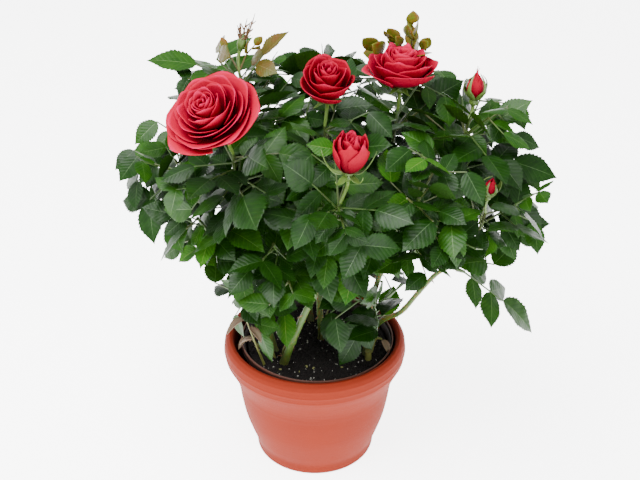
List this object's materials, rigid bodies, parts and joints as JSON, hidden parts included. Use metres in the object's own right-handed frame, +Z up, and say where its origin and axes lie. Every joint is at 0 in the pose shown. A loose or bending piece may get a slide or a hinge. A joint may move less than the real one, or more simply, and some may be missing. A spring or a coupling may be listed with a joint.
{
  "type": "potted rose bush",
  "caption": "Compact rose bush in leaf and bloom, growing in a nursery pot that stands in a clay-coloured cover pot.",
  "frame": {"origin": "centre of the cover pot's flat underside, where the pot stands", "axes": "+Z up along the pot's axis, -Y towards the side from which the bush is shown, +X to that view's right"},
  "size_m": [0.3374, 0.2725, 0.3851],
  "materials": {
    "clay_pot": "matte terracotta-coloured plastic",
    "nursery_pot": "thin dark brown plastic",
    "soil": "loose black peat with white perlite",
    "stems": "smooth green bark with a few prickles",
    "foliage": "dark green leaves with a soft sheen",
    "petals": "velvety crimson petals"
  },
  "bodies": {
    "root": {"cover_pot": "clay_pot", "nursery_pot": "nursery_pot", "soil": "soil", "cane_main": "stems", "cane_left": "stems", "cane_right": "stems", "cane_arching": "stems", "cane_centre": "stems", "cane_back": "stems", "bough_left_front": "stems", "bough_left": "stems", "bough_left_low": "stems", "bough_left_top": "stems", "bough_front_centre": "stems", "bough_front_left": "stems", "bough_centre_top": "stems", "bough_front_right": "stems", "bough_right_low": "stems", "bough_right_top": "stems", "bough_right": "stems", "bough_right_outer": "stems", "bough_back_left": "stems", "bough_back_centre": "stems", "bough_back_right": "stems", "bough_back_low_left": "stems", "bough_back_low_right": "stems", "bough_low_left": "stems", "bough_low_right": "stems", "bough_low_back": "stems", "bough_drooping": "stems", "leaves_left_front": "foliage", "leaves_left": "foliage", "leaves_left_low": "foliage", "leaves_left_top": "foliage", "leaves_front_centre": "foliage", "leaves_front_left": "foliage", "leaves_centre_top": "foliage", "leaves_front_right": "foliage", "leaves_right_low": "foliage", "leaves_right_top": "foliage", "leaves_right": "foliage", "leaves_right_outer": "foliage", "leaves_back_left": "foliage", "leaves_back_centre": "foliage", "leaves_back_right": "foliage", "leaves_back_low_left": "foliage", "leaves_back_low_right": "foliage", "leaves_low_left": "foliage", "leaves_low_right": "foliage", "leaves_low_back": "foliage", "leaves_drooping": "foliage", "rose_full_left": "petals", "rose_middle": "petals", "rose_right": "petals", "rose_half_open": "petals", "bud_red": "petals", "bud_small": "petals", "bud_green": "petals"}
  },
  "joints": []
}
